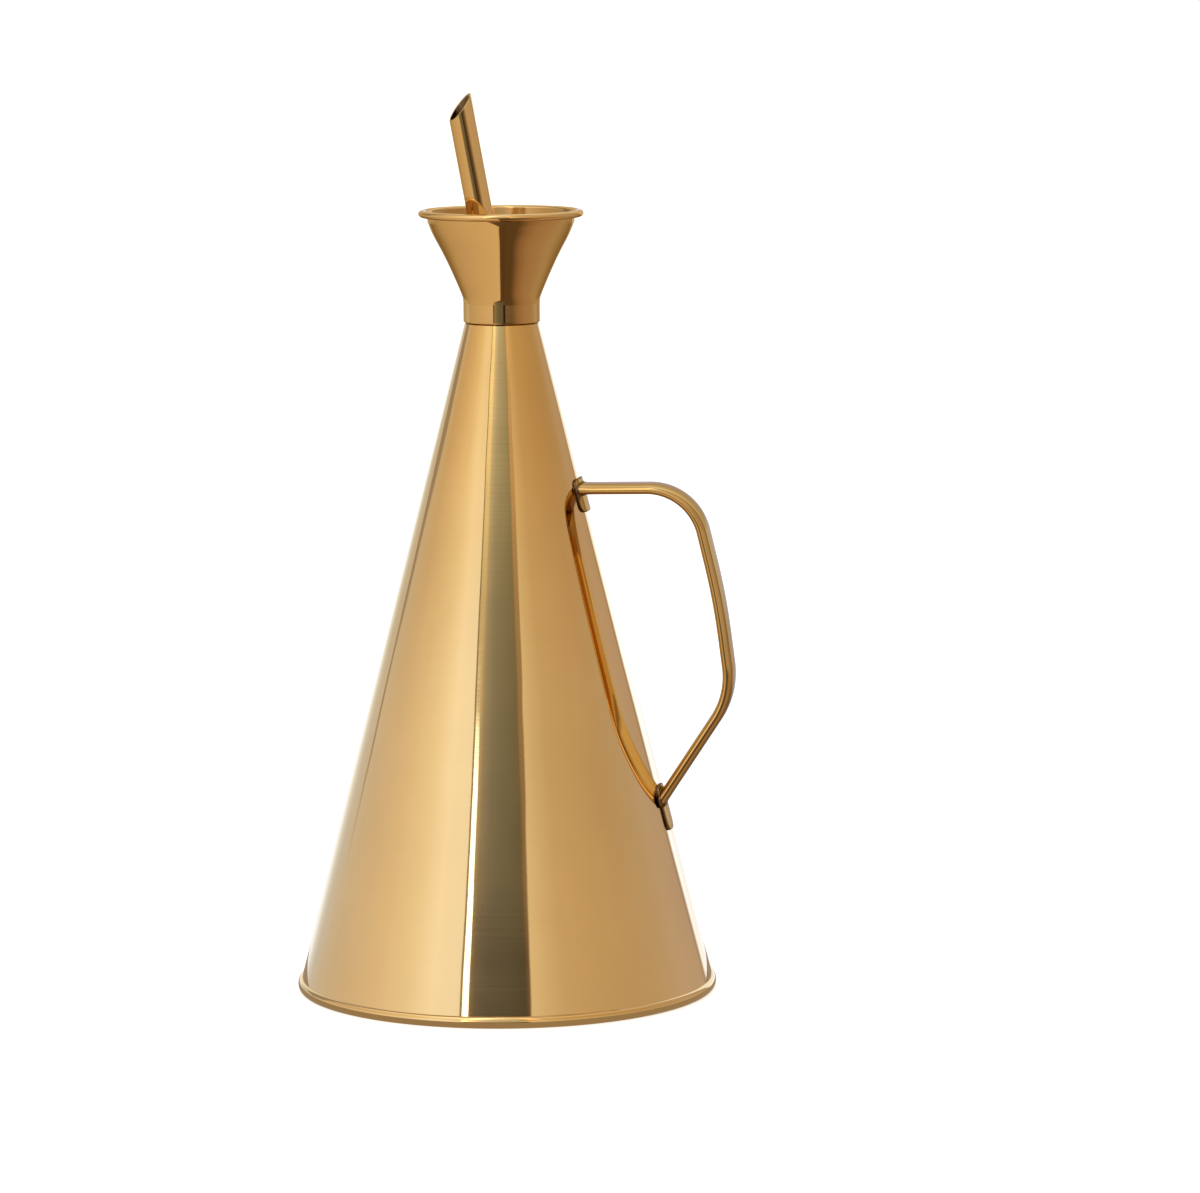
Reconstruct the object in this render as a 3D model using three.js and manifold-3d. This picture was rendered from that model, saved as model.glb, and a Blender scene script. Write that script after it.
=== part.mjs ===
// Conical oil can with a push-on pouring head. A tapered sheet-metal body stands on a rolled hem and carries a
// bent strap handle on two welded feet. The head is a drip-catching funnel with a slant-cut spout.
// Millimetres, +Z up. The origin is the centre of the base and the handle is towards +X. The spout leans to
// -X, with the head turned a little towards -Y.
import * as THREE from "three";
import { mergeVertices } from "three/addons/utils/BufferGeometryUtils.js";
import Module from "manifold-3d";

// Driving dimensions
const GAP = 0.3; // clearance that separate pieces keep
const WELD_TOLERANCE = 1e-4; // points closer than this are one point
const SHEET = 0.6; // wall of the body and the base
const HEAD_SHEET = 0.5; // wall of the pouring head, the spout and the neck

const HEM_RADIUS = 64;
const HEM_WIDTH = 2.6;
const HEM_HEIGHT = 3.6;
const CONE_BASE_RADIUS = 62.75; // outside, where the cone rises from the hem
const CONE_TOP_RADIUS = 11.28; // outside, at the cone's top edge
const CONE_TOP = 203.6;

const SLEEVE_RADIUS = 11.6; // outside of the head's sleeve
const SLEEVE_TOP = 209.8; // where the sleeve opens into the waist
// The flare's outside as radius and height, from the waist up to the rim.
const FLARE = [
  [11.8, 211.4],
  [12.7, 213.8],
  [15, 219.1],
  [17.6, 224.6],
  [20.65, 230.4],
  [22.2, 234.1],
];
const FLARE_STEPS = 9;
const RIM_RADIUS = 25; // outside of the curled rim
const RIM_WIDTH = 2.8;
const RIM_HEIGHT = 2.2;
const RIM_LEVEL = 236.6; // middle of the curled rim
const RIM_CURL = { from: 205, to: 520 }; // angles of the curl, in degrees
const HEM_CURL = { from: 112, to: 448 };

const NECK_RADIUS = 9.95;
const NECK_TOP = 210.4;
const NECK_SKIRT_BOTTOM = 197; // the ring's skirt lies inside the cone from here
const NECK_SKIRT_TOP = 203.2;
const NECK_COLLAR_BOTTOM = 204.4;
const SEAL_WALL = 0.55;
const SEAL_BOTTOM = 204.5;
const SEAL_TOP = 211.3;
const SEAL_LIP = 9; // radius of the opening in the seal's lip

const FLOOR_LEVEL = 211.6; // underside of the drip floor
const FLOOR_THICKNESS = 0.8;
const DRAIN_RADIUS = 1.75;
const DRAIN_OFFSET = 6.6;

const HEAD_TURN = THREE.MathUtils.degToRad(28.5); // the head is turned this far from -X towards -Y
const SPOUT_RADIUS = 3.88;
const SPOUT_LEAN = THREE.MathUtils.degToRad(10.7);
const SPOUT_CROSSING = 201.9; // height at which the spout's axis would meet the can's axis
const SPOUT_BOTTOM = 207.5;
const SPOUT_LENGTH = 62.15; // from the bottom to the middle of the slant cut
const SPOUT_CUT = THREE.MathUtils.degToRad(47.3); // angle of the slant cut to the tube's axis

const HANDLE_WIDTH = 14.4;
const HANDLE_THICKNESS = 3.4;
const HANDLE_SQUARENESS = 2.6; // exponent of the section's superellipse, where 2 is an ellipse
// Corners of the handle's centre line in X and Z, each with the radius of its bend.
const HANDLE_CORNERS = [
  { x: 20.3, z: 153.6, bend: 0 },
  { x: 58.1, z: 154.3, bend: 17 },
  { x: 66.2, z: 120.6, bend: 200 },
  { x: 69.95, z: 91.85, bend: 24 },
  { x: 43.9, z: 52.15, bend: 0 },
];
const FOOT_THICKNESS = 0.6;
const FOOT_CORNER = 3;
const UPPER_FOOT = { low: 146.6, high: 156.8, width: 14 };
const LOWER_FOOT = { low: 49.6, high: 63.4, width: 10 };

// Fineness of the facets
const BODY_SIDES = 72;
const HEAD_SIDES = 48;
const NECK_SIDES = 40;
const HANDLE_SIDES = 24;
const HANDLE_STEPS = 52;
const ROUND_DIVISIONS = 16;
const CORNER_DIVISIONS = 4;

const TAPER = (CONE_BASE_RADIUS - CONE_TOP_RADIUS) / (CONE_TOP - HEM_HEIGHT);
const HALF_ANGLE = Math.atan(TAPER);
const SHEET_ACROSS = SHEET / Math.cos(HALF_ANGLE); // the body's wall, measured along a radius

const GOLD = { color: 0xc9985a, roughness: 0.18, metalness: 1 };
const GOLD_DULL = { color: 0xb98a50, roughness: 0.3, metalness: 1 };
const SILICONE = { color: 0xe6e2d8, roughness: 0.6, metalness: 0 };

const wasm = await Module();
wasm.setup();

// Closed geometry to manifold-3d solid.
function toSolid(geometry) {
  const bare = geometry.clone();
  bare.deleteAttribute("normal");
  bare.deleteAttribute("uv");
  const merged = mergeVertices(bare, WELD_TOLERANCE);
  return new wasm.Manifold(
    new wasm.Mesh({
      numProp: 3,
      vertProperties: merged.attributes.position.array,
      triVerts: new Uint32Array(merged.index.array),
    }),
  );
}

// manifold-3d solid back to geometry.
function toGeometry(solid) {
  const mesh = solid.getMesh();
  const geometry = new THREE.BufferGeometry();
  geometry.setAttribute("position", new THREE.BufferAttribute(mesh.vertProperties, 3));
  geometry.setIndex(new THREE.BufferAttribute(mesh.triVerts, 1));
  const faceted = geometry.toNonIndexed();
  faceted.computeVertexNormals();
  return faceted;
}

// Solid of revolution about Z. The outline holds [radius, height] pairs, anticlockwise, and closes on itself.
function turned(outline, sides) {
  const points = [...outline, outline[0]].map(([r, z]) => new THREE.Vector2(r, z));
  return new THREE.LatheGeometry(points, sides).rotateX(Math.PI / 2);
}

// Points along an ellipse in the [radius, height] plane, from one angle to another, in degrees.
function ellipse(centre, halfWidth, halfHeight, from, to, count) {
  return Array.from({ length: count + 1 }, (_, i) => {
    const angle = THREE.MathUtils.degToRad(from + ((to - from) * i) / count);
    return [centre[0] + halfWidth * Math.cos(angle), centre[1] + halfHeight * Math.sin(angle)];
  });
}

const coneRadius = (z) => CONE_BASE_RADIUS - (z - HEM_HEIGHT) * TAPER;
const coneInside = (z) => coneRadius(z) - SHEET_ACROSS;
const spoutX = (z) => -(z - SPOUT_CROSSING) * Math.tan(SPOUT_LEAN);

// Body: the cone's wall and the rolled hem that it stands on.
function coneBody() {
  const hemCentre = [HEM_RADIUS - HEM_WIDTH / 2, HEM_HEIGHT / 2];
  const hem = ellipse(hemCentre, HEM_WIDTH / 2, HEM_HEIGHT / 2, HEM_CURL.from, HEM_CURL.to, 12);
  const outline = [
    ...hem,
    [coneRadius(CONE_TOP), CONE_TOP],
    [coneInside(CONE_TOP), CONE_TOP],
    [coneInside(HEM_HEIGHT), HEM_HEIGHT],
  ];
  return turned(outline, BODY_SIDES);
}

// Flat bottom, clasped by the hem.
function basePlate() {
  const radius = HEM_RADIUS - HEM_WIDTH - GAP;
  return new THREE.CylinderGeometry(radius, radius, SHEET, BODY_SIDES)
    .rotateX(Math.PI / 2)
    .translate(0, 0, SHEET / 2);
}

// Neck: a straight collar on a skirt that lines the top of the cone.
function neckRing() {
  const skirt = (z) => coneInside(z) - GAP;
  const outline = [
    [skirt(NECK_SKIRT_BOTTOM), NECK_SKIRT_BOTTOM],
    [skirt(NECK_SKIRT_TOP), NECK_SKIRT_TOP],
    [NECK_RADIUS, NECK_COLLAR_BOTTOM],
    [NECK_RADIUS, NECK_TOP],
    [NECK_RADIUS - HEAD_SHEET, NECK_TOP],
    [NECK_RADIUS - HEAD_SHEET, NECK_COLLAR_BOTTOM],
    [skirt(NECK_SKIRT_TOP) - HEAD_SHEET, NECK_SKIRT_TOP],
    [skirt(NECK_SKIRT_BOTTOM) - HEAD_SHEET, NECK_SKIRT_BOTTOM],
  ];
  return turned(outline, NECK_SIDES);
}

// Soft sleeve between the neck and the head, with a lip over the neck's edge.
function neckSeal() {
  const outer = SLEEVE_RADIUS - HEAD_SHEET - GAP;
  const inner = outer - SEAL_WALL;
  const lipBottom = NECK_TOP + GAP;
  const outline = [
    [inner, SEAL_BOTTOM],
    [outer, SEAL_BOTTOM],
    [outer, SEAL_TOP],
    [SEAL_LIP, SEAL_TOP],
    [SEAL_LIP, lipBottom],
    [inner, lipBottom],
  ];
  return turned(outline, NECK_SIDES);
}

// Pouring head: sleeve, waist and flare of one thickness, ending in a curled rim.
function funnelCup() {
  const knots = [[SLEEVE_RADIUS, SLEEVE_TOP], ...FLARE].map(([r, z]) => new THREE.Vector2(r, z));
  const flare = new THREE.SplineCurve(knots);
  const outside = [];
  const inside = [];
  for (let i = 0; i <= FLARE_STEPS; i += 1) {
    const point = flare.getPoint(i / FLARE_STEPS);
    const along = flare.getTangent(i / FLARE_STEPS);
    outside.push([point.x, point.y]);
    inside.push([point.x - along.y * HEAD_SHEET, point.y + along.x * HEAD_SHEET]);
  }
  inside[0] = [SLEEVE_RADIUS - HEAD_SHEET, SLEEVE_TOP];
  const rimCentre = [RIM_RADIUS - RIM_WIDTH / 2, RIM_LEVEL];
  const rim = ellipse(rimCentre, RIM_WIDTH / 2, RIM_HEIGHT / 2, RIM_CURL.from, RIM_CURL.to, 11);
  const bottom = CONE_TOP + GAP;
  const outline = [
    [SLEEVE_RADIUS - HEAD_SHEET, bottom],
    [SLEEVE_RADIUS - GAP, bottom],
    [SLEEVE_RADIUS, bottom + GAP],
    ...outside,
    ...rim,
    ...inside.reverse(),
  ];
  return turned(outline, HEAD_SIDES);
}

// Puts a geometry made about +Z on the spout's leaning axis, with its zero at the tube's lower end.
function ontoSpout(geometry) {
  return geometry
    .rotateY(-SPOUT_LEAN)
    .translate(spoutX(SPOUT_BOTTOM), 0, SPOUT_BOTTOM)
    .rotateZ(HEAD_TURN);
}

function extruded(section, depth, curveSegments) {
  return new THREE.ExtrudeGeometry(section, { depth, curveSegments, bevelEnabled: false });
}

function disc(radius) {
  return new THREE.Shape().absarc(0, 0, radius, 0, 2 * Math.PI);
}

// Floor across the waist, holed for the spout and for the drips to run back.
function dripFloor() {
  const radius = SLEEVE_RADIUS - HEAD_SHEET - GAP;
  const plate = new THREE.CylinderGeometry(radius, radius, FLOOR_THICKNESS, HEAD_SIDES)
    .rotateX(Math.PI / 2)
    .translate(0, 0, FLOOR_LEVEL + FLOOR_THICKNESS / 2);
  const spoutHole = ontoSpout(extruded(disc(SPOUT_RADIUS + GAP), SPOUT_LENGTH, ROUND_DIVISIONS));
  const drain = new THREE.CylinderGeometry(DRAIN_RADIUS, DRAIN_RADIUS, 4 * FLOOR_THICKNESS, ROUND_DIVISIONS)
    .rotateX(Math.PI / 2)
    .translate(DRAIN_OFFSET, 0, FLOOR_LEVEL)
    .rotateZ(HEAD_TURN);
  return toGeometry(toSolid(plate).subtract(toSolid(spoutHole)).subtract(toSolid(drain)));
}

// Spout: a thin tube, square at the bottom and cut on a slant that opens the way the spout leans.
function spoutTube() {
  const section = disc(SPOUT_RADIUS);
  section.holes.push(new THREE.Path().absarc(0, 0, SPOUT_RADIUS - HEAD_SHEET, 0, 2 * Math.PI));
  const spare = 4 * SPOUT_RADIUS; // the tube is made this much too long, then cut
  const tube = ontoSpout(extruded(section, SPOUT_LENGTH + spare, ROUND_DIVISIONS));
  const size = 3 * spare;
  const waste = new THREE.BoxGeometry(size, size, size)
    .translate(0, 0, size / 2)
    .rotateY(SPOUT_CUT - Math.PI / 2)
    .translate(0, 0, SPOUT_LENGTH);
  return toGeometry(toSolid(tube).subtract(toSolid(ontoSpout(waste))));
}

// Centre line of the handle: straight runs joined by circular bends.
function handleLine() {
  const path = new THREE.Path();
  const corners = HANDLE_CORNERS.map(({ x, z }) => new THREE.Vector2(x, z));
  path.moveTo(corners[0].x, corners[0].y);
  for (let i = 1; i < corners.length - 1; i += 1) {
    const back = corners[i - 1].clone().sub(corners[i]).normalize();
    const ahead = corners[i + 1].clone().sub(corners[i]).normalize();
    const half = Math.acos(THREE.MathUtils.clamp(back.dot(ahead), -1, 1)) / 2;
    const { bend } = HANDLE_CORNERS[i];
    const middle = back.clone().add(ahead).normalize().multiplyScalar(bend / Math.sin(half)).add(corners[i]);
    const enter = back.multiplyScalar(bend / Math.tan(half)).add(corners[i]);
    const leave = ahead.multiplyScalar(bend / Math.tan(half)).add(corners[i]);
    const from = Math.atan2(enter.y - middle.y, enter.x - middle.x);
    const to = Math.atan2(leave.y - middle.y, leave.x - middle.x);
    path.lineTo(enter.x, enter.y);
    path.absarc(middle.x, middle.y, bend, from, to, true);
  }
  const end = corners.at(-1);
  path.lineTo(end.x, end.y);
  return path.getSpacedPoints(HANDLE_STEPS);
}

// Points round a superellipse centred on zero, as pairs along its thickness and along its width.
function oval(thickness, width, squareness, sides) {
  const power = 2 / squareness;
  const bulge = (value) => Math.sign(value) * Math.abs(value) ** power;
  return Array.from({ length: sides }, (_, j) => {
    const angle = (2 * Math.PI * (j + 0.5)) / sides;
    return [(thickness / 2) * bulge(Math.cos(angle)), (width / 2) * bulge(Math.sin(angle))];
  });
}

// Solid with a given section, swept along points that hold X and Z, with the section's width along Y.
function swept(line, section) {
  const sides = section.length;
  const last = line.length - 1;
  const positions = line.flatMap((point, i) => {
    const along = line[Math.min(i + 1, last)].clone().sub(line[Math.max(i - 1, 0)]).normalize();
    return section.map(([across, y]) => [point.x - along.y * across, y, point.y + along.x * across]);
  });
  const faces = [];
  for (let i = 0; i < last; i += 1) {
    for (let j = 0; j < sides; j += 1) {
      const a = i * sides + j;
      const b = i * sides + ((j + 1) % sides);
      faces.push(a, a + sides, b, b, a + sides, b + sides);
    }
  }
  const end = last * sides;
  for (let j = 1; j < sides - 1; j += 1) {
    faces.push(0, j, j + 1, end, end + j + 1, end + j);
  }
  const geometry = new THREE.BufferGeometry();
  geometry.setAttribute("position", new THREE.Float32BufferAttribute(positions.flat(), 3));
  geometry.setIndex(faces);
  return geometry;
}

// Handle: the bent strap, with its ends cut to lie a gap away from the feet.
function handleBar() {
  const section = oval(HANDLE_THICKNESS, HANDLE_WIDTH, HANDLE_SQUARENESS, HANDLE_SIDES);
  const strap = swept(handleLine(), section);
  const clear = (GAP + FOOT_THICKNESS + GAP) / Math.cos(HALF_ANGLE);
  const body = new THREE.CylinderGeometry(
    coneRadius(CONE_TOP) + clear,
    coneRadius(HEM_HEIGHT) + clear,
    CONE_TOP - HEM_HEIGHT,
    BODY_SIDES,
  )
    .rotateX(Math.PI / 2)
    .translate(0, 0, (CONE_TOP + HEM_HEIGHT) / 2);
  return toGeometry(toSolid(strap).subtract(toSolid(body)));
}

// Foot: a round-cornered plate that follows the cone, a gap away from it.
function handleFoot({ low, high, width }) {
  const x = (high - low) / 2 / Math.cos(HALF_ANGLE);
  const y = width / 2;
  const c = FOOT_CORNER;
  const outline = new THREE.Shape()
    .moveTo(-x + c, -y)
    .lineTo(x - c, -y)
    .absarc(x - c, -y + c, c, -Math.PI / 2, 0)
    .absarc(x - c, y - c, c, 0, Math.PI / 2)
    .absarc(-x + c, y - c, c, Math.PI / 2, Math.PI)
    .absarc(-x + c, -y + c, c, Math.PI, 1.5 * Math.PI);
  const middle = (low + high) / 2;
  const depth = width; // enough to pass through the curved sheet
  const punch = extruded(outline, depth, CORNER_DIVISIONS)
    .translate(0, 0, -depth / 2)
    .rotateY(Math.PI / 2 - HALF_ANGLE)
    .translate(coneRadius(middle), 0, middle);
  const near = GAP / Math.cos(HALF_ANGLE);
  const far = (GAP + FOOT_THICKNESS) / Math.cos(HALF_ANGLE);
  const bottom = low - depth;
  const top = high + depth;
  const sheet = turned(
    [
      [coneRadius(bottom) + near, bottom],
      [coneRadius(bottom) + far, bottom],
      [coneRadius(top) + far, top],
      [coneRadius(top) + near, top],
    ],
    BODY_SIDES,
  );
  return toGeometry(toSolid(sheet).intersect(toSolid(punch)));
}

function named(name, geometry, finish) {
  const mesh = new THREE.Mesh(geometry, new THREE.MeshStandardMaterial(finish));
  mesh.name = name;
  return mesh;
}

const can = new THREE.Group();
can.add(
  named("cone_body", coneBody(), GOLD),
  named("base_plate", basePlate(), GOLD_DULL),
  named("neck_ring", neckRing(), GOLD_DULL),
  named("handle_bar", handleBar(), GOLD),
  named("upper_handle_foot", handleFoot(UPPER_FOOT), GOLD),
  named("lower_handle_foot", handleFoot(LOWER_FOOT), GOLD),
);

const head = new THREE.Group();
head.add(
  named("neck_seal", neckSeal(), SILICONE),
  named("funnel_cup", funnelCup(), GOLD),
  named("drip_floor", dripFloor(), GOLD_DULL),
  named("spout_tube", spoutTube(), GOLD),
);

const oilCan = new THREE.Group();
oilCan.add(can, head);

export default oilCan;
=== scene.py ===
"""Conical gold-tone oil can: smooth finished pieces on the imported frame, on a pale floor.

The metal mirrors what surrounds it, so sky() paints a studio by direction instead of using an even light.
"""

import math

import bpy
from mathutils import Matrix, Vector, noise


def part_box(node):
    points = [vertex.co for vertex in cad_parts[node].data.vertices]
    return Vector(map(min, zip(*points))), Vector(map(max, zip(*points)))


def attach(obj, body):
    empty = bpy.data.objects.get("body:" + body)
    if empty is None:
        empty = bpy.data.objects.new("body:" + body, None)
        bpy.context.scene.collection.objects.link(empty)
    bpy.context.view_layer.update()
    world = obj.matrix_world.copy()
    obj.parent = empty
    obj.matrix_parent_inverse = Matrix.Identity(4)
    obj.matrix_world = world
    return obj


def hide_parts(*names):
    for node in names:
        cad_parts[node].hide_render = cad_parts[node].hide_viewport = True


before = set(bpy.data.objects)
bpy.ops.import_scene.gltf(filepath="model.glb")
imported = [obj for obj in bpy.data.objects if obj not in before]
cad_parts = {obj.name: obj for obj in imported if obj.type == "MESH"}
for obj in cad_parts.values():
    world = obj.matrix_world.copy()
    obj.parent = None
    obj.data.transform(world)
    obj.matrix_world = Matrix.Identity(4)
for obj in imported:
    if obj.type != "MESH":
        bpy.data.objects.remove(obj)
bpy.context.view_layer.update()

MM = 0.001  # every size below is in millimetres, and meshes are made in metres


def box_mm(node):
    """The lowest and highest corner of a CAD node, in millimetres."""
    low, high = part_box(node)
    return Vector(low) / MM, Vector(high) / MM


# ---------------------------------------------------------------- sizes

HEM_RADIUS = box_mm("cone_body")[1].x
CONE_TOP = box_mm("cone_body")[1].z
HEM_WIDTH = 2.6
HEM_HEIGHT = 3.6
CONE_BASE_RADIUS = HEM_RADIUS - 1.25
CONE_TOP_RADIUS = 11.28
SHEET = 0.6
HEAD_SHEET = 0.5

HEAD_BOTTOM = box_mm("funnel_cup")[0].z
RIM_RADIUS = box_mm("funnel_cup")[1].x
RIM_WIDTH = 2.8
RIM_HEIGHT = 2.2
RIM_LEVEL = box_mm("funnel_cup")[1].z - RIM_HEIGHT / 2
SLEEVE_RADIUS = 11.6
SLEEVE_TOP = 209.8
# The flare's outside as radius and height, from the sleeve to the rim.
FLARE = [(11.8, 211.4), (12.7, 213.8), (15, 219.1), (17.6, 224.6), (20.65, 230.4), (22.2, 234.1)]

BASE_RADIUS = box_mm("base_plate")[1].x
NECK_TOP = box_mm("neck_ring")[1].z
NECK_BOTTOM = box_mm("neck_ring")[0].z
NECK_RADIUS = 9.95
NECK_SHOULDER = 203.2
SEAL_LOW, SEAL_HIGH = box_mm("neck_seal")
SEAL_WALL = 0.55
SEAL_LIP = 9
FLOOR_LOW, FLOOR_HIGH = box_mm("drip_floor")

HEAD_TURN = math.radians(28.5)
SPOUT_RADIUS = 3.88
SPOUT_LEAN = math.radians(10.7)
SPOUT_CROSSING = 201.9
SPOUT_BOTTOM = 207.5
SPOUT_LENGTH = 62.15
SPOUT_CUT = math.radians(47.3)

HANDLE_WIDTH = 14.4
HANDLE_THICKNESS = 3.4
HANDLE_SQUARENESS = 2.6
# Corners of the handle's centre line: X, Z and the radius of the bend there.
HANDLE = [(20.3, 153.6, 0), (58.1, 154.3, 17), (66.2, 120.6, 200), (69.95, 91.85, 24), (43.9, 52.15, 0)]
FOOT_THICKNESS = 0.6
FOOT_CLEARANCE = 0.05

VIEW_TURN = math.radians(10.5)  # how far round towards the handle the photographer stands

TAPER = (CONE_BASE_RADIUS - CONE_TOP_RADIUS) / (CONE_TOP - HEM_HEIGHT)
HALF_ANGLE = math.atan(TAPER)

BODY_SIDES = 288
HEAD_SIDES = 192
HANDLE_SIDES = 64


# ---------------------------------------------------------------- node helpers


class Graph:
    """Short calls for building a node tree."""

    def __init__(self, tree):
        tree.nodes.clear()
        self.tree = tree

    def node(self, kind, inputs=None, **settings):
        made = self.tree.nodes.new(kind)
        for key, value in settings.items():
            setattr(made, key, value)
        for key, value in (inputs or {}).items():
            self.feed(made.inputs[key], value)
        return made

    def feed(self, socket, value):
        if isinstance(value, bpy.types.NodeSocket):
            self.tree.links.new(value, socket)
        else:
            socket.default_value = value

    def math(self, operation, *values, clamp=False):
        inputs = dict(enumerate(values))
        return self.node("ShaderNodeMath", inputs, operation=operation, use_clamp=clamp).outputs[0]

    def span(self, value, low, high, to_low=0.0, to_high=1.0, smooth=False):
        """value from low..high, clamped, onto to_low..to_high."""
        kind = "SMOOTHSTEP" if smooth else "LINEAR"
        inputs = {"Value": value, "From Min": low, "From Max": high, "To Min": to_low, "To Max": to_high}
        return self.node("ShaderNodeMapRange", inputs, interpolation_type=kind).outputs[0]

    def ramp(self, factor, stops, interpolation="LINEAR"):
        """A colour ramp of (place, (r, g, b)) stops."""
        made = self.node("ShaderNodeValToRGB", {"Fac": factor})
        made.color_ramp.interpolation = interpolation
        elements = made.color_ramp.elements
        while len(elements) < len(stops):
            elements.new(0.5)
        for element, (place, colour) in zip(elements, stops):
            element.position = place
        for element, (place, colour) in zip(elements, stops):
            element.color = (*colour, 1)
        return made.outputs["Color"]

    def mix(self, factor, a, b, blend="MIX"):
        made = self.node("ShaderNodeMix", data_type="RGBA", blend_type=blend)
        self.feed(made.inputs["Factor"], factor)
        self.feed(made.inputs["A"], a)
        self.feed(made.inputs["B"], b)
        return made.outputs["Result"]

    def noise(self, vector, scale, detail=2.0, roughness=0.5):
        inputs = {"Vector": vector, "Scale": scale, "Detail": detail, "Roughness": roughness}
        return self.node("ShaderNodeTexNoise", inputs).outputs["Fac"]

    def stretched(self, vector, scale):
        return self.node("ShaderNodeMapping", {"Vector": vector, "Scale": scale}).outputs[0]


def material(name):
    made = bpy.data.materials.new(name)
    made.use_nodes = True
    return made, Graph(made.node_tree)


def rgb(red, green, blue):
    return (red, green, blue, 1)


# ---------------------------------------------------------------- materials


def gold(name, colour, roughness, brush, brush_depth, cloud=0.015, smear=0.01, edge=(1, 1, 1)):
    """Polished gold-tone steel. brush is the noise scale along X, Y and Z, per metre, of its fine lines.

    edge tints what the metal reflects where it's seen at a low angle.
    """
    made, g = material(name)
    place = g.node("ShaderNodeTexCoord").outputs["Object"]
    lines = g.noise(g.stretched(place, brush), 1.0, 3.0, 0.65)
    broad = g.noise(place, 22.0, 3.0, 0.55)
    fine = g.noise(place, 160.0, 2.0, 0.5)
    deep = tuple(c * (1 - 2 * cloud) for c in colour)
    light = tuple(min(1.0, c * (1 + cloud)) for c in colour)
    tone = g.ramp(broad, [(0.3, deep), (0.7, light)])
    streak = g.ramp(lines, [(0.3, (0.988, 0.988, 0.988)), (0.7, (1.0, 1.0, 1.0))])
    shade = g.mix(1.0, tone, streak, "MULTIPLY")
    rough = g.span(g.math("ADD", g.math("MULTIPLY", lines, 0.6), g.math("MULTIPLY", fine, 0.4)),
                   0.3, 0.7, roughness - smear * 0.5, roughness + smear)
    height = g.math("MULTIPLY", lines, brush_depth)
    bump = g.node("ShaderNodeBump", {"Height": height, "Strength": 1.0, "Distance": 1.0}).outputs[0]
    shader = g.node("ShaderNodeBsdfPrincipled", {
        "Base Color": shade, "Metallic": 1.0, "Roughness": rough, "Normal": bump, "Specular Tint": rgb(*edge),
    })
    g.node("ShaderNodeOutputMaterial", {"Surface": shader.outputs[0]})
    return made


def silicone(name):
    made, g = material(name)
    place = g.node("ShaderNodeTexCoord").outputs["Object"]
    speckle = g.noise(place, 900.0, 3.0)
    tone = g.ramp(speckle, [(0.3, (0.74, 0.72, 0.67)), (0.7, (0.84, 0.82, 0.77))])
    bump = g.node("ShaderNodeBump", {"Height": speckle, "Strength": 0.2, "Distance": 0.0001}).outputs[0]
    shader = g.node("ShaderNodeBsdfPrincipled", {
        "Base Color": tone, "Roughness": 0.45, "Normal": bump,
        "Subsurface Weight": 0.3, "Subsurface Scale": 0.002, "Transmission Weight": 0.15,
    })
    g.node("ShaderNodeOutputMaterial", {"Surface": shader.outputs[0]})
    return made


BODY_GOLD = gold("body_gold", (0.83, 0.58, 0.27), 0.04, (9, 9, 1100), 2.2e-6, 0.025)
HEAD_GOLD = gold("head_gold", (0.81, 0.55, 0.245), 0.04, (20, 20, 900), 1.0e-6, edge=(0.6, 0.45, 0.3))
# A rougher copy of the head gold for the funnel's inside, darker in colour: the darkening is painted shade in
# the hollow.
HEAD_INSIDE_SHADED = gold("head_inside_shaded_gold", (0.6, 0.38, 0.16), 0.12, (20, 20, 900), 2.0e-6, 0.05)
# A near-black, rough copy of the gold for the spout's bore: painted shade inside the tube.
SPOUT_BORE_SHADE = gold("spout_bore_painted_shade", (0.16, 0.1, 0.05), 0.35, (500, 500, 500), 4.0e-6, 0.1)
HANDLE_GOLD = gold("handle_gold", (0.7, 0.46, 0.18), 0.06, (260, 260, 260), 1.0e-6, edge=(0.44, 0.35, 0.3))
# Dark gold at the joins: painted shade where the handle strap meets its feet and along the feet's edges
# against the cone.
JOIN_SHADE_GOLD = gold(
    "painted_join_shade", (0.24, 0.16, 0.09), 0.2, (400, 400, 400), 4.0e-6, 0.15, 0.05, edge=(0.4, 0.3, 0.2)
)
DULL_GOLD = gold("dull_gold", (0.74, 0.52, 0.25), 0.24, (500, 500, 500), 6.0e-6, 0.05, 0.05)
SEAL_SILICONE = silicone("seal_silicone")


# ---------------------------------------------------------------- mesh helpers


def add_piece(name, points, faces, finish, body, nodes=(), sharp=40):
    """A smooth-shaded mesh, from points in millimetres, riding on a CAD body in place of the CAD nodes."""
    mesh = bpy.data.meshes.new(name)
    mesh.from_pydata([Vector(p) * MM for p in points], [], faces)
    mesh.validate()
    mesh.shade_smooth()
    mesh.set_sharp_from_angle(angle=math.radians(sharp))
    mesh.materials.append(finish)
    piece = bpy.data.objects.new(name, mesh)
    bpy.context.scene.collection.objects.link(piece)
    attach(piece, body)
    if nodes:
        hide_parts(*nodes)
    return piece


def finish_faces(piece, finish, first, last):
    """Gives the faces from first up to last a finish of their own."""
    piece.data.materials.append(finish)
    for face in piece.data.polygons[first:last]:
        face.material_index = 1


def arc(centre, half_width, half_height, start, end, count):
    """Points along an ellipse in the (radius, height) plane, between two angles in degrees."""
    angles = [math.radians(start + (end - start) * i / count) for i in range(count + 1)]
    return [(centre[0] + half_width * math.cos(a), centre[1] + half_height * math.sin(a)) for a in angles]


def run(a, b, step):
    """Points from a to b, with one close to each end so that shading stays true along the straight."""
    a, b = Vector(a), Vector(b)
    length = (b - a).length
    count = max(1, round(length / step))
    edge = min(0.25, length / 8)
    places = [0, edge] + [length * i / count for i in range(1, count)] + [length - edge, length]
    return [tuple(a.lerp(b, place / length)) for place in places]


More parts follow.
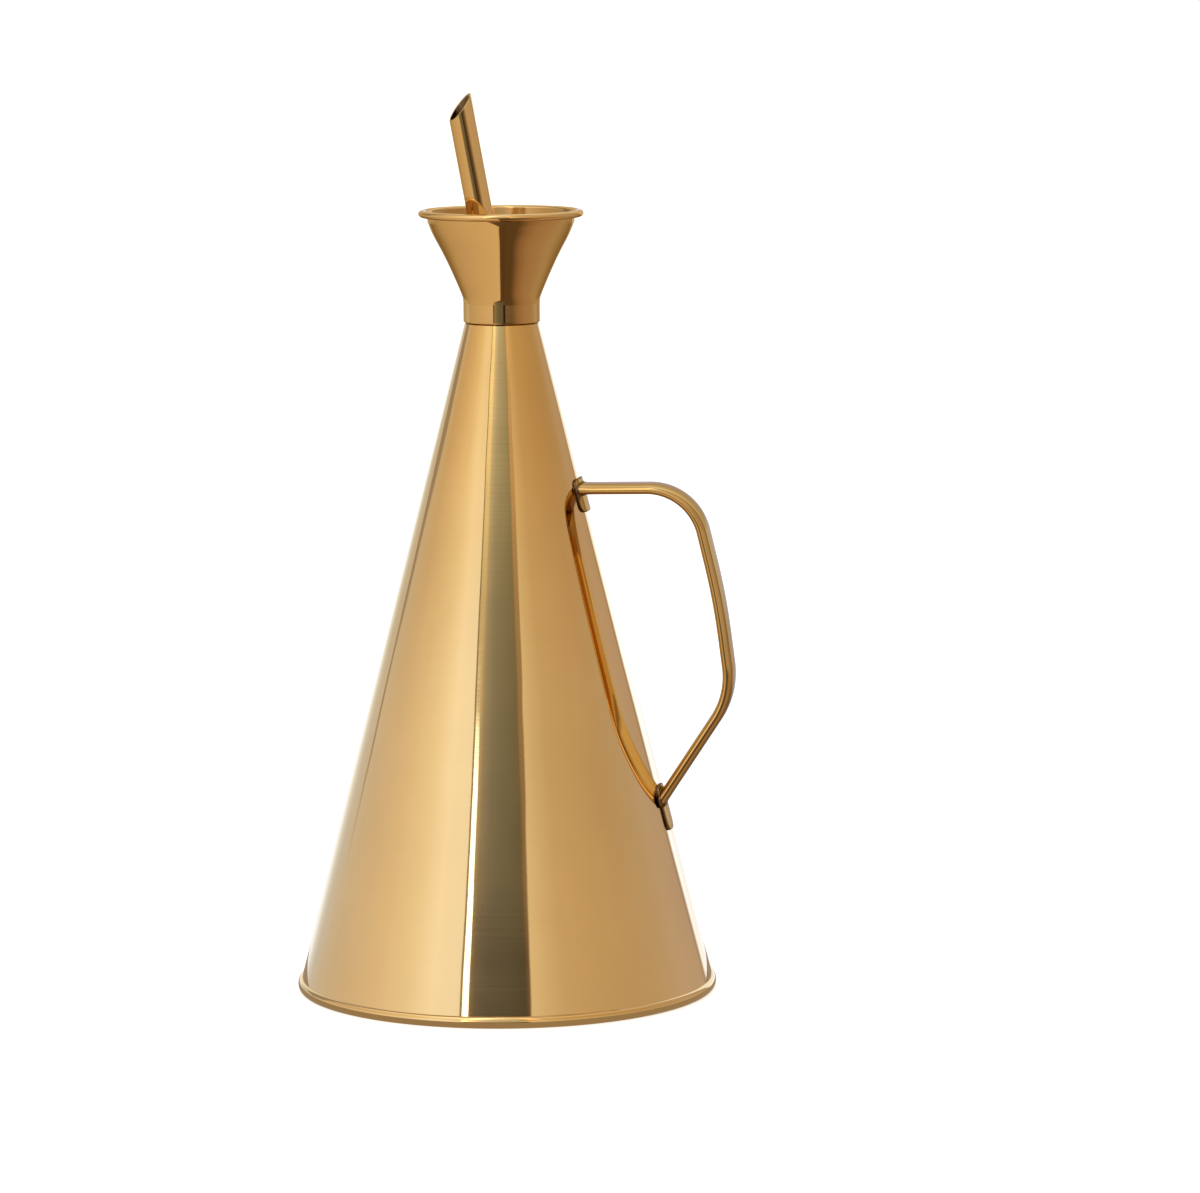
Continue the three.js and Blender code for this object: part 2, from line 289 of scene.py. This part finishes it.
def spline(points, per_span):
    """A Catmull-Rom curve through (radius, height) points."""
    before = 2 * Vector(points[0]) - Vector(points[1])
    after = 2 * Vector(points[-1]) - Vector(points[-2])
    knots = [before, *(Vector(p) for p in points), after]
    made = []
    for i in range(1, len(knots) - 2):
        p0, p1, p2, p3 = knots[i - 1 : i + 3]
        for j in range(per_span):
            t = j / per_span
            made.append(0.5 * (2 * p1 + (p2 - p0) * t + (2 * p0 - 5 * p1 + 4 * p2 - p3) * t * t
                               + (3 * p1 - p0 - 3 * p2 + p3) * t ** 3))
    made.append(knots[-2])
    return [tuple(p) for p in made]


def offset(points, distance):
    """The curve moved sideways, to the left of its direction."""
    made = []
    for i, point in enumerate(points):
        along = Vector(points[min(i + 1, len(points) - 1)]) - Vector(points[max(i - 1, 0)])
        along.normalize()
        made.append((point[0] - along.y * distance, point[1] + along.x * distance))
    return made


def ring_faces(rings, sides, closed):
    """Quads between neighbouring rings of points; closed also joins the last ring to the first."""
    faces = []
    for i in range(rings if closed else rings - 1):
        low, high = i * sides, (i + 1) % rings * sides
        for j in range(sides):
            k = (j + 1) % sides
            faces.append((low + j, low + k, high + k, high + j))
    return faces


def turn(name, outline, sides, finish, body, nodes, dent=None, sharp=40):
    """A solid of revolution of a closed (radius, height) outline. dent(angle, height) adds to the radius."""
    points = []
    for radius, height in outline:
        for j in range(sides):
            angle = 2 * math.pi * j / sides
            r = radius + (dent(angle, height) if dent else 0)
            points.append((r * math.cos(angle), r * math.sin(angle), height))
    return add_piece(name, points, ring_faces(len(outline), sides, True), finish, body, nodes, sharp)


def cone_radius(height):
    return CONE_BASE_RADIUS - (height - HEM_HEIGHT) * TAPER


# ---------------------------------------------------------------- the can's body


def cone_dent(angle, height):
    """The slight unevenness of a hand-rolled sheet, which bends reflections."""
    fade = min(1.0, max(0.0, (height - HEM_HEIGHT) / 12)) * min(1.0, max(0.0, (CONE_TOP - height) / 12))
    around = Vector((math.cos(angle), math.sin(angle), height / 70))
    wave = noise.noise(around * 2.3) * 0.05 + noise.noise(around * 6.1 + Vector((7, 3, 1))) * 0.012
    return wave * fade - 0.02 * fade


def make_body():
    wall = SHEET / math.cos(HALF_ANGLE)
    hem = arc((HEM_RADIUS - HEM_WIDTH / 2, HEM_HEIGHT / 2), HEM_WIDTH / 2, HEM_HEIGHT / 2, 112, 440, 40)
    edge = 0.15
    foot, shoulder = HEM_HEIGHT - 0.1, CONE_TOP - edge
    outside = run((cone_radius(foot), foot), (cone_radius(shoulder), shoulder), 4)
    inside = run((cone_radius(CONE_TOP) - wall, CONE_TOP), (cone_radius(HEM_HEIGHT) - wall, HEM_HEIGHT), 20)
    outline = hem + outside + [(cone_radius(CONE_TOP) - edge, CONE_TOP)] + inside
    return turn("can_body", outline, BODY_SIDES, BODY_GOLD, "can", ["cone_body"], cone_dent, 30)


def make_base():
    """The flat bottom, with a pressed ring near its edge."""
    radius = BASE_RADIUS
    rise = 0.12
    # The pressed ring's slope, as distance in from the edge and height.
    under = [(0.01, rise), (radius - 9, rise), (radius - 8, 0.02), (radius - 6.5, 0), (radius - 0.2, 0)]
    rounded = [(radius, 0.15), (radius, SHEET - 0.05), (radius - 0.1, SHEET)]
    top = SHEET + rise
    over = [(radius - 6.5, SHEET), (radius - 8, SHEET + 0.02), (radius - 9, top), (0.01, top)]
    outline = under + rounded + over
    return turn("base_disc", outline, BODY_SIDES, DULL_GOLD, "can", ["base_plate"])


def make_neck():
    """The collar that the head pushes onto, with a skirt inside the cone's top."""
    wall = SHEET / math.cos(HALF_ANGLE)
    sheet = HEAD_SHEET

    def skirt(height):
        return cone_radius(height) - wall - 0.05

    lip = arc((NECK_RADIUS - sheet / 2, NECK_TOP - sheet / 2), sheet / 2, sheet / 2, 0, 180, 10)
    outline = [
        (skirt(NECK_BOTTOM), NECK_BOTTOM),
        (skirt(NECK_SHOULDER), NECK_SHOULDER),
        (NECK_RADIUS, NECK_SHOULDER + 1.2),
        *lip,
        (NECK_RADIUS - sheet, NECK_SHOULDER + 1.2),
        (skirt(NECK_SHOULDER) - sheet, NECK_SHOULDER),
        (skirt(NECK_BOTTOM) - sheet, NECK_BOTTOM),
    ]
    return turn("neck_collar", outline, HEAD_SIDES, DULL_GOLD, "can", ["neck_ring"], None, 20)


# ---------------------------------------------------------------- the handle


def handle_line(step):
    """Points and directions along the centre line: straights joined by circular bends."""
    corners = [Vector((x, 0, z)) for x, z, _ in HANDLE]
    line = [corners[0]]
    for i in range(1, len(corners) - 1):
        back = (corners[i - 1] - corners[i]).normalized()
        ahead = (corners[i + 1] - corners[i]).normalized()
        half = back.angle(ahead) / 2
        bend = HANDLE[i][2]
        middle = corners[i] + (back + ahead).normalized() * bend / math.sin(half)
        enter = corners[i] + back * bend / math.tan(half)
        sweep = math.pi - 2 * half
        count = max(6, round(sweep * bend / step))
        for j in range(count + 1):
            turned = Matrix.Rotation(sweep * j / count, 3, "Y") @ (enter - middle)
            line.append(middle + turned)
    line.append(corners[-1])
    dense = [line[0]]
    for a, b in zip(line, line[1:]):
        count = max(1, round((b - a).length / step))
        dense += [a.lerp(b, j / count) for j in range(1, count + 1)]
    return dense


def bulge(value, power):
    """A sine or cosine raised to a power that squares a circle's corners."""
    return math.copysign(abs(value) ** power, value)


def above_cone(point):
    """Distance from the cone's outside, along its normal, and that normal."""
    around = Vector((point.x, point.y, 0)).normalized()
    distance = (math.hypot(point.x, point.y) - cone_radius(point.z)) * math.cos(HALF_ANGLE)
    return distance, around * math.cos(HALF_ANGLE) + Vector((0, 0, math.sin(HALF_ANGLE)))


def onto_foot(point, along, lift):
    """The point slid along a direction until it is lift above the feet's outside."""
    for _ in range(6):
        distance, normal = above_cone(point)
        short = FOOT_CLEARANCE + FOOT_THICKNESS + lift - distance
        point = point + along * (short / normal.dot(along))
    return point


def make_handle():
    """The bent oval strap, with a small weld fillet onto each foot."""
    line = handle_line(0.7)
    fillet_top = 3.4  # the strap's own rings begin this far above the cone
    rings = []

    def ring(centre, along, extra=-0.03, lift=None):
        side = Vector((0, 1, 0))
        out = along.cross(side).normalized()
        made = []
        for j in range(HANDLE_SIDES):
            a = 2 * math.pi * j / HANDLE_SIDES
            across = (HANDLE_THICKNESS / 2 + extra) * bulge(math.cos(a), 2 / HANDLE_SQUARENESS)
            sideways = (HANDLE_WIDTH / 2 + extra) * bulge(math.sin(a), 2 / HANDLE_SQUARENESS)
            point = centre + out * across + side * sideways
            made.append(point if lift is None else onto_foot(point, along, lift))
        rings.append(made)

    kept = [i for i in range(len(line)) if above_cone(line[i])[0] > fillet_top]
    first, last = kept[0], kept[-1]
    start_along = (line[first + 1] - line[first]).normalized()
    end_along = (line[last] - line[last - 1]).normalized()
    # The fillet's rings: height above the foot, and how far each stands out.
    fillet = [(0.0, 0.4), (0.08, 0.24), (0.2, 0.11), (0.4, 0.04), (0.7, 0.0)]
    for lift, extra in fillet:
        ring(line[first], start_along, extra, lift)
    for i in kept:
        ring(line[i], (line[min(i + 1, len(line) - 1)] - line[i - 1]).normalized())
    for lift, extra in reversed(fillet):
        ring(line[last], end_along, extra, lift)
    faces = [face[::-1] for face in ring_faces(len(rings), HANDLE_SIDES, False)]
    points = [p for made in rings for p in made]
    faces.append(tuple(range(HANDLE_SIDES)))
    faces.append(tuple(range(len(points) - 1, len(points) - HANDLE_SIDES - 1, -1)))
    strap = add_piece("handle_strap", points, faces, HANDLE_GOLD, "can", ["handle_bar"], 50)
    # The fillet rings by each foot take the dark join finish: painted shade where the strap meets the foot.
    shaded_faces = (len(fillet) - 1) * HANDLE_SIDES
    walls = (len(rings) - 1) * HANDLE_SIDES
    finish_faces(strap, JOIN_SHADE_GOLD, 0, shaded_faces)
    finish_faces(strap, JOIN_SHADE_GOLD, walls - shaded_faces, walls)
    return strap


def make_foot(name, node):
    """A round-cornered plate that hugs the cone, with softened edges."""
    low, high = box_mm(node)
    bottom, top = low.z + 0.15, high.z - 0.15
    half_length = (top - bottom) / 2 / math.cos(HALF_ANGLE)
    half_width = high.y - 0.05
    count = 72
    power = 0.4  # squares the outline's corners
    outline = []
    for j in range(count):
        a = 2 * math.pi * j / count
        outline.append((bulge(math.cos(a), power) * half_length, bulge(math.sin(a), power) * half_width))
    soft = 0.2
    soft_steps = 4
    # Each level is an inset from the edge, a share of the way to the middle, and a height.
    levels = [(0.0, 0.0, 0.0), (0.0, 0.0, FOOT_THICKNESS - soft)]
    for k in range(1, soft_steps + 1):
        t = math.pi / 2 * k / soft_steps
        levels.append((soft * (1 - math.cos(t)), 0.0, FOOT_THICKNESS - soft + soft * math.sin(t)))
    levels += [(soft, k / 6, FOOT_THICKNESS) for k in range(1, 6)]
    middle = (bottom + top) / 2

    def place(x, y, height):
        z = middle - x * math.cos(HALF_ANGLE)
        radius = cone_radius(z)
        angle = y / radius
        point = Vector((radius * math.cos(angle), radius * math.sin(angle), z))
        return point + above_cone(point)[1] * (FOOT_CLEARANCE + height)

    points = []
    for inset, share, height in levels:
        for x, y in outline:
            sx = (half_length - inset) / half_length * (1 - share)
            sy = (half_width - inset) / half_width * (1 - share)
            points.append(place(x * sx, y * sy, height))
    faces = ring_faces(len(levels), count, False)
    points.append(place(0, 0, FOOT_THICKNESS))
    last = (len(levels) - 1) * count
    faces += [(last + j, last + (j + 1) % count, len(points) - 1) for j in range(count)]
    faces.append(tuple(range(count - 1, -1, -1)))
    foot = add_piece(name, points, faces, HANDLE_GOLD, "can", [node], 45)
    # The plate's side walls and softened edges take the dark join finish: painted shade along its contact
    # with the cone.
    finish_faces(foot, JOIN_SHADE_GOLD, 0, (soft_steps + 1) * count)
    return foot


# ---------------------------------------------------------------- the pouring head


def make_funnel():
    """Sleeve, flare and curled rim, from one closed outline."""
    outside = spline([(SLEEVE_RADIUS, SLEEVE_TOP), *FLARE], 8)
    inside = offset(outside, HEAD_SHEET)
    inside[0] = (SLEEVE_RADIUS - HEAD_SHEET, SLEEVE_TOP)
    sleeve = run((SLEEVE_RADIUS, HEAD_BOTTOM + 0.35), (SLEEVE_RADIUS, SLEEVE_TOP), 2)
    edge = arc((SLEEVE_RADIUS - 0.3, HEAD_BOTTOM + 0.3), 0.3, 0.3, 270, 350, 5)
    rim = arc((RIM_RADIUS - RIM_WIDTH / 2, RIM_LEVEL), RIM_WIDTH / 2, RIM_HEIGHT / 2, 205, 520, 44)
    outline = [(SLEEVE_RADIUS - HEAD_SHEET, HEAD_BOTTOM)] + edge + sleeve + outside[1:] + rim + inside[::-1]
    funnel = turn(
        "pouring_funnel", outline, HEAD_SIDES, HEAD_GOLD, "head", ["funnel_cup"], None, 30
    )
    rows = len(outline)
    # The funnel's inside faces take the darker copy: painted shade.
    finish_faces(funnel, HEAD_INSIDE_SHADED, (rows - len(inside) - 1) * HEAD_SIDES, rows * HEAD_SIDES)
    return funnel


def make_seal():
    """Soft sleeve with a lip over the neck and two grip beads."""
    outer, bottom, top = SEAL_HIGH.x, SEAL_LOW.z, SEAL_HIGH.z
    inner = outer - SEAL_WALL
    lip = NECK_TOP + 0.1
    outline = [(inner, bottom), (outer - 0.1, bottom)]
    for height in (bottom + 1.6, bottom + 4.2):
        outline += [(outer - 0.1, height - 0.5), (outer, height), (outer - 0.1, height + 0.5)]
    outline += [(outer - 0.05, top - 0.2), (outer - 0.25, top)]
    outline += [(SEAL_LIP, top), (SEAL_LIP, lip), (inner, lip)]
    return turn("neck_gasket", outline, HEAD_SIDES, SEAL_SILICONE, "seal", ["neck_seal"], None, 35)


def on_spout(x, y, along):
    """A point given round the spout's axis and along it from its lower end."""
    tilt = Matrix.Rotation(-SPOUT_LEAN, 3, "Y")
    foot = Vector((-(SPOUT_BOTTOM - SPOUT_CROSSING) * math.tan(SPOUT_LEAN), 0, SPOUT_BOTTOM))
    return Matrix.Rotation(HEAD_TURN, 3, "Z") @ (foot + tilt @ Vector((x, y, along)))


def cut_height(x):
    """Where the slant cut crosses a line along the spout at x."""
    return SPOUT_LENGTH + x / math.tan(SPOUT_CUT)


def make_spout():
    """Thin tube with a slant-cut mouth and softened edges."""
    sides = 96
    wall, soft = HEAD_SHEET, 0.1
    straight = SPOUT_LENGTH - 1.4 * SPOUT_RADIUS  # up to here the rings are square to the tube
    rings = []

    def ring(radius, height=None, drop=0.0):
        made = []
        for j in range(sides):
            a = 2 * math.pi * j / sides
            x, y = radius * math.cos(a), radius * math.sin(a)
            made.append(on_spout(x, y, cut_height(x) - drop if height is None else height))
        rings.append(made)

    outer, inner = SPOUT_RADIUS, SPOUT_RADIUS - wall
    ring(outer - soft, 0)
    ring(outer, soft)
    for step in range(1, 24):
        ring(outer, straight * step / 23)
    ring(outer, None, 0.35)
    ring(outer, None, soft)
    ring(outer - soft, None, 0)
    ring(inner + soft * 0.5, None, 0)
    ring(inner, None, soft)
    ring(inner, straight)
    ring(inner, SPOUT_LENGTH / 2)
    ring(inner, soft)
    ring(inner + soft * 0.5, 0)
    points = [p for made in rings for p in made]
    faces = ring_faces(len(rings), sides, True)
    spout = add_piece("spout_pipe", points, faces, HEAD_GOLD, "head", ["spout_tube"], 35)
    # The bore's rows take the near-black finish: painted shade inside the tube.
    inner_rows = 4
    finish_faces(spout, SPOUT_BORE_SHADE, (len(rings) - inner_rows - 1) * sides, (len(rings) - 1) * sides)
    return spout


def make_solder():
    """A low solder fillet where the spout comes through the floor."""
    sides = 64
    rings = []
    level = (FLOOR_HIGH.z - SPOUT_BOTTOM) / math.cos(SPOUT_LEAN)
    # The fillet's outline: distance out from the spout, and height above the floor.
    for radius, rise in ((0.05, -0.2), (1.1, 0.0), (0.75, 0.22), (0.4, 0.5), (0.15, 0.95), (-0.05, 1.3)):
        made = []
        for j in range(sides):
            a = 2 * math.pi * j / sides
            r = SPOUT_RADIUS + radius
            point = on_spout(r * math.cos(a), r * math.sin(a), level)
            point.z = FLOOR_HIGH.z + rise
            made.append(point)
        rings.append(made)
    points = [p for made in rings for p in made]
    faces = ring_faces(len(rings), sides, True)
    return add_piece("spout_solder", points, faces, DULL_GOLD, "head", (), 60)


def finish_floor():
    """The drip floor keeps its CAD shape, with its edges softened."""
    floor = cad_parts["drip_floor"]
    floor.data.materials.clear()
    floor.data.materials.append(DULL_GOLD)
    soften = floor.modifiers.new("soft_edges", "BEVEL")
    soften.width = 0.12 * MM
    soften.segments = 2
    soften.angle_limit = math.radians(50)


# ---------------------------------------------------------------- studio


def sky():
    """The studio that the metal mirrors: warm side walls and a dark gap where the photographer stands.

    Its stops were set until the front view matched the photographed metal, so they are fitted to
    that one view. The camera itself sees plain white. Angles are in degrees. Round the can they count from
    the photographer, and grow to the right.
    """
    world = bpy.data.worlds.new("studio")
    world.use_nodes = True
    bpy.context.scene.world = world
    g = Graph(world.node_tree)
    direction = g.node("ShaderNodeTexCoord").outputs["Generated"]
    turned = g.node("ShaderNodeMapping", {"Vector": direction, "Rotation": (0, 0, -VIEW_TURN)},
                    vector_type="VECTOR").outputs[0]
    way = g.node("ShaderNodeSeparateXYZ", {0: turned}).outputs
    azimuth = g.math("DEGREES", g.math("ARCTAN2", way["X"], g.math("MULTIPLY", way["Y"], -1.0)))
    height = g.math("DEGREES", g.math("ARCSINE", way["Z"]))

    def turn_stops(stops):
        return [((degrees + 180) / 360, colour) for degrees, colour in stops]

    def tilt_stops(stops):
        return [((degrees + 90) / 180, colour) for degrees, colour in stops]

    def within(value, middle, half, soft):
        """1 inside middle +- half, fading to 0 over soft."""
        away = g.math("ABSOLUTE", g.math("SUBTRACT", value, middle))
        return g.span(away, half + soft, half, smooth=True)

    round_place = g.math("DIVIDE", g.math("ADD", azimuth, 180.0), 360.0)
    tilt_place = g.math("DIVIDE", g.math("ADD", height, 90.0), 180.0)
    walls = g.ramp(round_place, turn_stops([
        (-180, (1.12, 1.2, 1.32)),
        (-162, (1.08, 1.18, 1.3)),
        (-155, (0.82, 0.92, 1.06)),
        (-146, (0.7, 0.74, 0.84)),
        (-120, (0.73, 0.7, 0.72)),
        (-100, (0.78, 0.72, 0.7)),
        (-80, (0.89, 0.81, 0.75)),
        (-60, (1.01, 0.98, 0.91)),
        (-44, (1.17, 1.19, 1.28)),
        (-28, (1.1, 1.16, 1.28)),
        (12, (0.86, 0.8, 0.68)),
        (22, (0.77, 0.68, 0.54)),
        (33, (0.69, 0.57, 0.43)),
        (60, (0.63, 0.51, 0.37)),
        (80, (0.6, 0.48, 0.37)),
        (100, (0.58, 0.5, 0.43)),
        (118, (0.6, 0.52, 0.51)),
        (128, (0.58, 0.5, 0.48)),
        (135, (0.57, 0.48, 0.44)),
        (144, (0.55, 0.45, 0.4)),
        (160, (0.8, 0.9, 1.05)),
    ]))
    # Light cloth behind on the right; its near edge leans.
    cloth_edge = g.span(height, -6.0, 3.0, 151.0, 142.0)
    from_cloth = g.math("SUBTRACT", azimuth, cloth_edge)
    walls = g.mix(g.math("MULTIPLY", within(from_cloth, -2.6, 0.6, 1.2), 0.6), walls, rgb(0.36, 0.29, 0.24))
    cloth = g.span(from_cloth, -1.8, 1.8, smooth=True)
    cloth_light = g.ramp(tilt_place, tilt_stops([
        (-5.5, (1.12, 1.28, 1.55)),
        (-2.5, (1.35, 1.7, 2.5)),
        (0.0, (1.35, 1.7, 2.5)),
        (2.5, (1.12, 1.28, 1.6)),
    ]))
    walls = g.mix(cloth, walls, cloth_light)
    # The walls get warmer upwards. The lines of equal tint sag to the sides.
    level = g.math("ADD", height, g.math("DIVIDE", g.math("MULTIPLY", azimuth, azimuth), 900.0))
    level_place = g.math("DIVIDE", g.math("ADD", level, 90.0), 180.0)
    tint = g.ramp(level_place, tilt_stops([
        (17, (1.0, 1.0, 1.0)),
        (20.5, (1.01, 1.01, 0.99)),
        (24.3, (0.92, 0.8, 0.57)),
        (32, (0.95, 0.85, 0.65)),
        (46, (0.95, 0.9, 0.8)),
        (58, (1.3, 1.3, 1.25)),
        (72, (1.3, 1.3, 1.25)),
        (84, (0.75, 0.65, 0.5)),
    ]))
    side = g.span(g.math("ABSOLUTE", azimuth), 105.0, 125.0)
    walls = g.mix(g.math("SUBTRACT", 1.0, side), walls, g.mix(1.0, walls, tint, "MULTIPLY"))
    walls = g.mix(side, walls, g.mix(1.0, walls, g.ramp(level_place, tilt_stops([
        (20.5, (1.0, 1.0, 1.0)), (24.3, (0.95, 0.9, 0.8)), (40, (0.95, 0.9, 0.8)),
    ])), "MULTIPLY"))
    table = g.ramp(round_place, turn_stops([
        (-180, (0.4, 0.33, 0.25)),
        (-150, (0.4, 0.33, 0.25)),
        (-122, (0.6, 0.48, 0.34)),
        (-60, (0.72, 0.58, 0.4)),
        (-8, (0.78, 0.63, 0.44)),
        (10, (0.12, 0.076, 0.037)),
        (30, (0.125, 0.08, 0.038)),
        (38, (0.2, 0.12, 0.065)),
        (47, (0.3, 0.18, 0.105)),
        (60, (0.37, 0.235, 0.14)),
        (70, (0.41, 0.27, 0.17)),
        (92, (0.45, 0.31, 0.2)),
        (120, (0.5, 0.4, 0.27)),
        (150, (0.4, 0.33, 0.25)),
    ]))
    # Seen from the sides, the table begins lower.
    table_edge = g.span(g.math("ABSOLUTE", azimuth), 108.0, 135.0, 0.0, -9.0)
    on_table = g.span(g.math("SUBTRACT", height, table_edge), 1.0, -6.0, smooth=True)
    walls = g.mix(on_table, walls, table)
    walls = g.mix(g.span(height, -66, -84), walls, rgb(0.2, 0.15, 0.11))

    gap = g.ramp(tilt_place, tilt_stops([
        (-90, (0.16, 0.12, 0.09)),
        (-60, (0.12, 0.07, 0.03)),
        (-20, (0.13, 0.08, 0.05)),
        (-7, (0.17, 0.18, 0.15)),
        (0, (0.13, 0.1, 0.06)),
        (6, (0.13, 0.1, 0.06)),
        (8.5, (1.2, 1.2, 1.1)),
        (14.4, (1.2, 1.2, 1.1)),
        (15.4, (0.085, 0.085, 0.085)),
        (16.7, (0.085, 0.085, 0.085)),
        (17.9, (0.18, 0.185, 0.18)),
        (20.5, (0.25, 0.26, 0.24)),
        (22, (0.34, 0.35, 0.3)),
        (23.3, (0.48, 0.49, 0.43)),
        (24.2, (0.58, 0.58, 0.48)),
        (30, (0.8, 0.72, 0.55)),
        (50, (0.72, 0.68, 0.66)),
        (60, (1.2, 1.25, 1.25)),
        (72, (1.2, 1.25, 1.25)),
        (84, (0.62, 0.55, 0.45)),
    ]))
    # Across the gap: lighter and warmer on the left, with a reddish right edge.
    gap = g.mix(1.0, gap, g.ramp(g.span(azimuth, -22, 14), [
        (0.0, (2.8, 2.5, 2.1)), (0.1, (1.8, 1.65, 1.6)), (0.2, (1.45, 1.42, 1.5)), (0.3, (1.22, 1.2, 1.25)),
        (0.48, (1.06, 1.06, 1.06)), (0.83, (0.92, 0.88, 0.8)), (0.9, (0.92, 0.84, 0.7)),
        (0.95, (1.6, 1.15, 0.85)), (1.0, (1.6, 1.15, 0.85)),
    ]), "MULTIPLY")
    low_left = g.span(height, -30, -14, -4, -24)
    left_edge = g.math("ADD", low_left, g.math("ADD", g.span(height, 6, 14, 0.0, -1.8),
                                               g.span(height, 19, 23, 0.0, -2.6)))
    right_edge = g.math("ADD", g.span(height, 16, 24, 12.6, 19.2), g.span(height, 0, -6, 0.0, -2.6))
    sides = g.math("MULTIPLY",
                   g.span(g.math("SUBTRACT", azimuth, left_edge), -0.3, 0.5, smooth=True),
                   g.span(g.math("SUBTRACT", right_edge, azimuth), -0.5, 0.7, smooth=True))
    light = g.mix(sides, walls, gap)

    # Thin dark outline of the gap low down, where the upright sleeve sees it.
    low_gap = within(height, -6.0, 4.0, 2.0)
    outline = g.math("MAXIMUM", within(azimuth, -24.0, 1.2, 0.8), within(azimuth, 7.5, 2.6, 1.0))
    light = g.mix(g.math("MULTIPLY", outline, low_gap), light, rgb(0.03, 0.025, 0.02))

    # Dark line down the gap's left edge, and low down a bright slit beside it.
    from_left = g.math("SUBTRACT", azimuth, left_edge)
    above = g.span(height, 15.2, 15.8)
    line = g.math("MULTIPLY", within(from_left, -0.5, 0.5, 0.5), above)
    light = g.mix(g.math("MULTIPLY", line, g.span(height, 25.0, 23.0)), light, rgb(0.3, 0.25, 0.17))
    slit = g.math("MULTIPLY", within(from_left, 1.9, 1.5, 0.4), above)
    light = g.mix(g.math("MULTIPLY", slit, g.span(height, 19.7, 18.2)), light, rgb(3.4, 3.7, 4.4))

    # Dark upright far round on the left, wider towards its top.
    upright = g.math("MULTIPLY",
                     g.span(g.math("SUBTRACT", g.math("ABSOLUTE", g.math("ADD", azimuth, 132.5)),
                                   g.span(height, 3.8, 8.7, 0.5, 11.0)), 2.0, 0.0, smooth=True),
                     g.span(height, 1.0, 2.5))
    light = g.mix(g.math("MULTIPLY", upright, 0.9), light, rgb(0.36, 0.31, 0.27))

    lit = g.node("ShaderNodeBackground", {"Color": light, "Strength": 1.0}).outputs[0]
    plain = g.node("ShaderNodeBackground", {"Color": rgb(1, 1, 1), "Strength": 1.02}).outputs[0]
    seen = g.node("ShaderNodeLightPath").outputs["Is Camera Ray"]
    both = g.node("ShaderNodeMixShader", {0: seen, 1: lit, 2: plain}).outputs[0]
    g.node("ShaderNodeOutputWorld", {"Surface": both})


def make_floor():
    """Pale floor, bright enough to read as white paper, left out of mirror reflections."""
    size = 6.0  # metres
    mesh = bpy.data.meshes.new("floor")
    corners = [(-size, -size, 0), (size, -size, 0), (size, size, 0), (-size, size, 0)]
    mesh.from_pydata(corners, [], [(0, 1, 2, 3)])
    made, g = material("floor_white")
    shader = g.node("ShaderNodeBsdfPrincipled", {
        "Base Color": rgb(0.8, 0.8, 0.8), "Roughness": 0.9, "Specular IOR Level": 0.0,
        "Emission Color": rgb(1, 1, 1), "Emission Strength": 0.62,
    })
    g.node("ShaderNodeOutputMaterial", {"Surface": shader.outputs[0]})
    mesh.materials.append(made)
    floor = bpy.data.objects.new("floor", mesh)
    floor.location.z = -0.05 * MM
    floor.visible_glossy = False
    bpy.context.scene.collection.objects.link(floor)


def make_glow():
    """A glowing ring in the floor's tone close round the base, seen only in reflections: a painted reflection
    of the floor in the metal.
    """
    sides = 96
    points = []
    for radius in (60, 100):
        for j in range(sides):
            a = 2 * math.pi * j / sides
            points.append(Vector((radius * math.cos(a), radius * math.sin(a), 0)) * MM)
    mesh = bpy.data.meshes.new("near_floor")
    mesh.from_pydata(points, [], ring_faces(2, sides, False))
    made, g = material("near_floor_reflected_glow")
    shader = g.node("ShaderNodeEmission", {"Color": rgb(0.38, 0.31, 0.24), "Strength": 1.0})
    g.node("ShaderNodeOutputMaterial", {"Surface": shader.outputs[0]})
    mesh.materials.append(made)
    glow = bpy.data.objects.new("near_floor", mesh)
    glow.location.z = -0.03 * MM
    glow.visible_camera = False
    glow.visible_diffuse = False
    glow.visible_shadow = False
    bpy.context.scene.collection.objects.link(glow)


def make_camera():
    """A long lens a little above the can's middle, turned slightly to the right of it."""
    distance, height = 1600, 334.9
    pitch, yaw, roll = 0.1335, 0.0182, -0.006  # radians
    lens = bpy.data.cameras.new("camera")
    lens.sensor_width = 36
    lens.lens = 159.42
    lens.clip_start = 0.05
    camera = bpy.data.objects.new("camera", lens)
    forward = Vector((math.sin(yaw) * math.cos(pitch), math.cos(yaw) * math.cos(pitch), -math.sin(pitch)))
    right = Vector((math.cos(yaw), -math.sin(yaw), 0))
    up = right.cross(forward)
    right, up = (math.cos(roll) * right + math.sin(roll) * up, -math.sin(roll) * right + math.cos(roll) * up)
    turned = Matrix((right, up, -forward)).transposed().to_4x4()
    placed = Matrix.Translation(Vector((0, -distance, height)) * MM) @ turned
    camera.matrix_world = Matrix.Rotation(VIEW_TURN, 4, "Z") @ placed
    bpy.context.scene.collection.objects.link(camera)
    bpy.context.scene.camera = camera


make_camera()
make_body()
make_base()
make_neck()
make_handle()
make_foot("upper_foot_plate", "upper_handle_foot")
make_foot("lower_foot_plate", "lower_handle_foot")
make_seal()
make_funnel()
make_spout()
make_solder()
finish_floor()
sky()
make_floor()
make_glow()

bpy.context.scene.view_settings.view_transform = "Standard"
